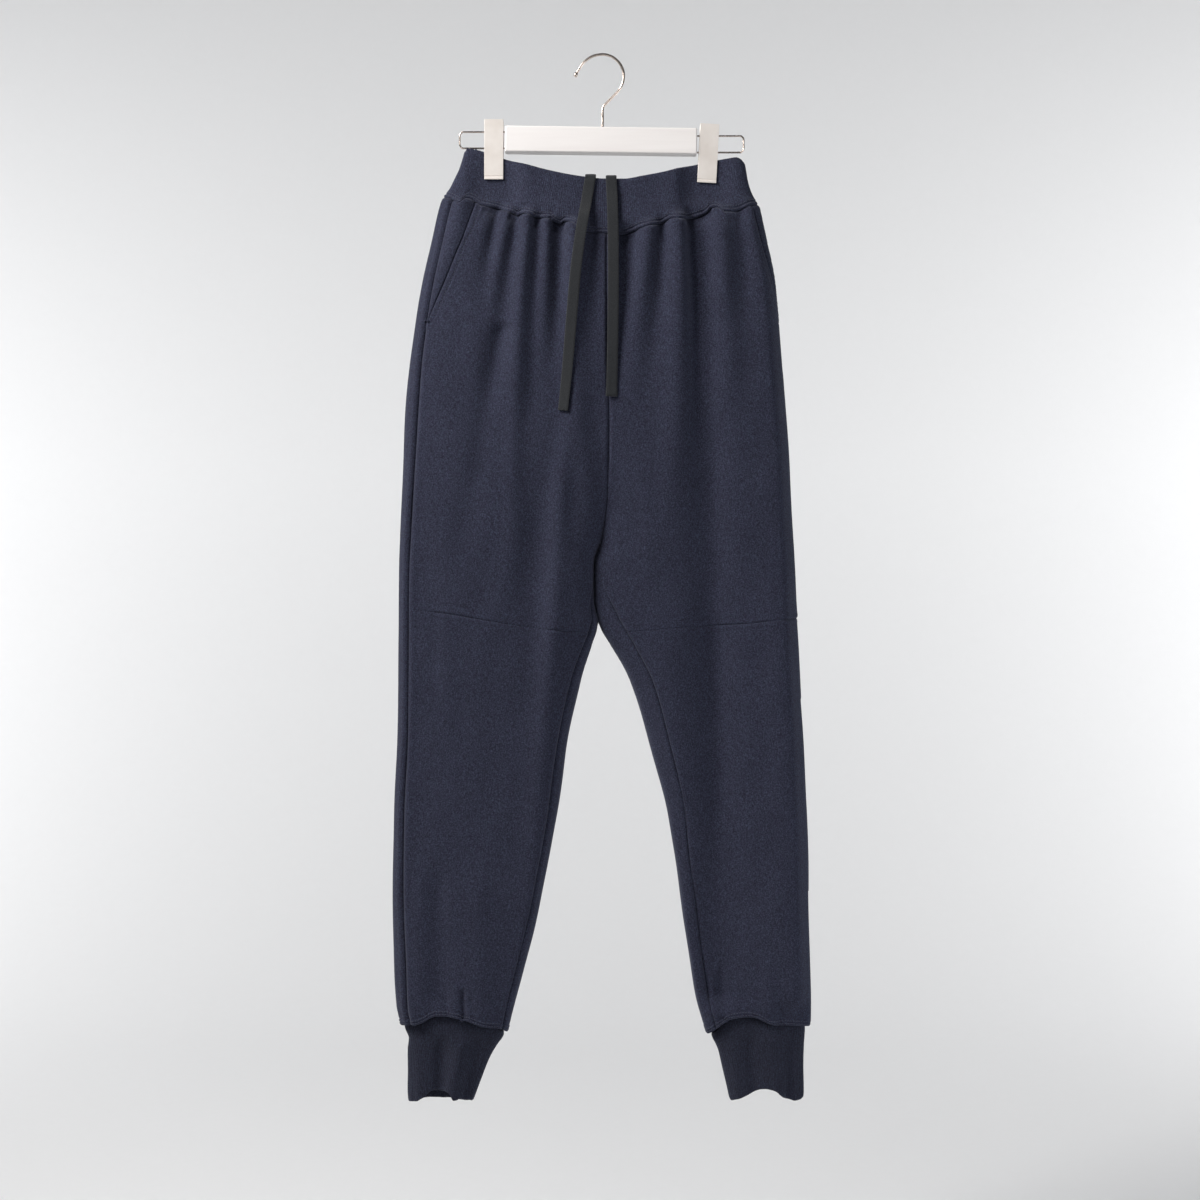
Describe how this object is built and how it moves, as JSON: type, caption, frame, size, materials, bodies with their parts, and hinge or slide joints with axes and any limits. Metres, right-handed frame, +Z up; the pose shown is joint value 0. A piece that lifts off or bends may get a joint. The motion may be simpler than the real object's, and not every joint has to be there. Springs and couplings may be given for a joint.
{
  "type": "jogger sweatpants on a clip hanger",
  "caption": "Drawstring sweatpants with a ribbed waistband, gathered front, slanted side pockets, knee seams and ribbed cuffs, hung by two clips from a trouser hanger.",
  "frame": {"origin": "the inside top of the hanger's hook, where a rail carries the whole", "axes": "+Z up, along the trousers; front of the trousers towards -Y; wearer's right leg at -X"},
  "size_m": [0.4402, 0.0768, 1.11],
  "materials": {
    "fleece": "matt brushed-back sweatshirt jersey, navy",
    "rib": "matt 2x2 rib knit, navy",
    "tape": "flat woven cotton tape, dark grey-green",
    "bar_paint": "satin off-white paint",
    "steel": "satin nickel"
  },
  "bodies": {
    "root": {"front_right": "fleece", "shin_right": "fleece", "back_right": "fleece", "calf_right": "fleece", "pocket_right": "fleece", "front_left": "fleece", "shin_left": "fleece", "back_left": "fleece", "calf_left": "fleece", "pocket_left": "fleece", "cuff_right": "rib", "cuff_left": "rib", "waistband": "rib", "drawcord_right": "tape", "drawcord_left": "tape", "hanger_bar": "bar_paint", "hanger_hook": "steel", "hanger_hook_tip": "steel", "hanger_loop_right": "steel", "clip_front_right": "steel", "clip_back_right": "steel", "clip_spring_right": "steel", "hanger_loop_left": "steel", "clip_front_left": "steel", "clip_back_left": "steel", "clip_spring_left": "steel"}
  },
  "joints": []
}
